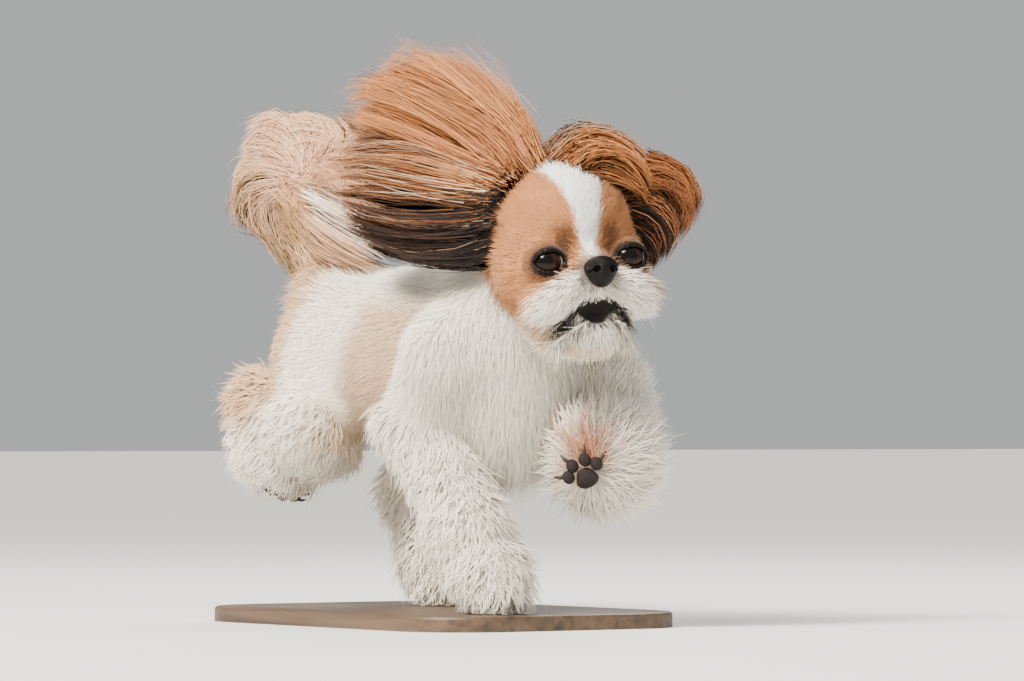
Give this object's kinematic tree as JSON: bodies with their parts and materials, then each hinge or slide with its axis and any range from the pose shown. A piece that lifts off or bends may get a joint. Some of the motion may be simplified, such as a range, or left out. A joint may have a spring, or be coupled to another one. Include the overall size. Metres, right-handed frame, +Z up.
{
  "type": "shih tzu, still life-size model",
  "caption": "Life-size still model of a trotting shih tzu, hair streaming back, one forepaw raised, planted on a low plain stand base.",
  "frame": {"origin": "middle of the flat underside of the stand base", "axes": "+Z up, the dog faces -Y, +X to the dog's left"},
  "size_m": [0.24, 0.4537, 0.443],
  "materials": {
    "white_coat": "soft matte hair",
    "tan_coat": "soft hair with a slight sheen",
    "red_coat": "long silky hair, dark at the ends",
    "peach_coat": "long silky hair",
    "nose_leather": "moist, finely pebbled",
    "eye": "wet gloss",
    "pad_leather": "rough, matte",
    "claw": "satin horn",
    "stand": "dark satin stain"
  },
  "bodies": {
    "root": {"head": "tan_coat", "nose": "nose_leather", "eye_left": "eye", "eye_right": "eye", "ear_right": "red_coat", "ear_left": "red_coat", "torso_front": "white_coat", "torso_rear": "tan_coat", "neck": "white_coat", "foreleg_right_upper": "white_coat", "foreleg_right_lower": "white_coat", "forepaw_right": "white_coat", "foreleg_left_upper": "white_coat", "foreleg_left_lower": "white_coat", "forepaw_left": "white_coat", "hindleg_right_thigh": "tan_coat", "hindleg_right_shank": "white_coat", "hindpaw_right": "white_coat", "hindleg_left_thigh": "white_coat", "hindleg_left_shank": "white_coat", "hindpaw_left": "white_coat", "tail": "peach_coat", "stand_base": "stand", "forepaw_left_pad_palm": "pad_leather", "forepaw_left_pad_1": "pad_leather", "forepaw_left_claw_1": "claw", "forepaw_left_pad_2": "pad_leather", "forepaw_left_claw_2": "claw", "forepaw_left_pad_3": "pad_leather", "forepaw_left_claw_3": "claw", "forepaw_left_pad_4": "pad_leather", "forepaw_left_claw_4": "claw", "hindpaw_right_pad_palm": "pad_leather", "hindpaw_right_pad_1": "pad_leather", "hindpaw_right_claw_1": "claw", "hindpaw_right_pad_2": "pad_leather", "hindpaw_right_claw_2": "claw", "hindpaw_right_pad_3": "pad_leather", "hindpaw_right_claw_3": "claw", "hindpaw_right_pad_4": "pad_leather", "hindpaw_right_claw_4": "claw"}
  },
  "joints": []
}
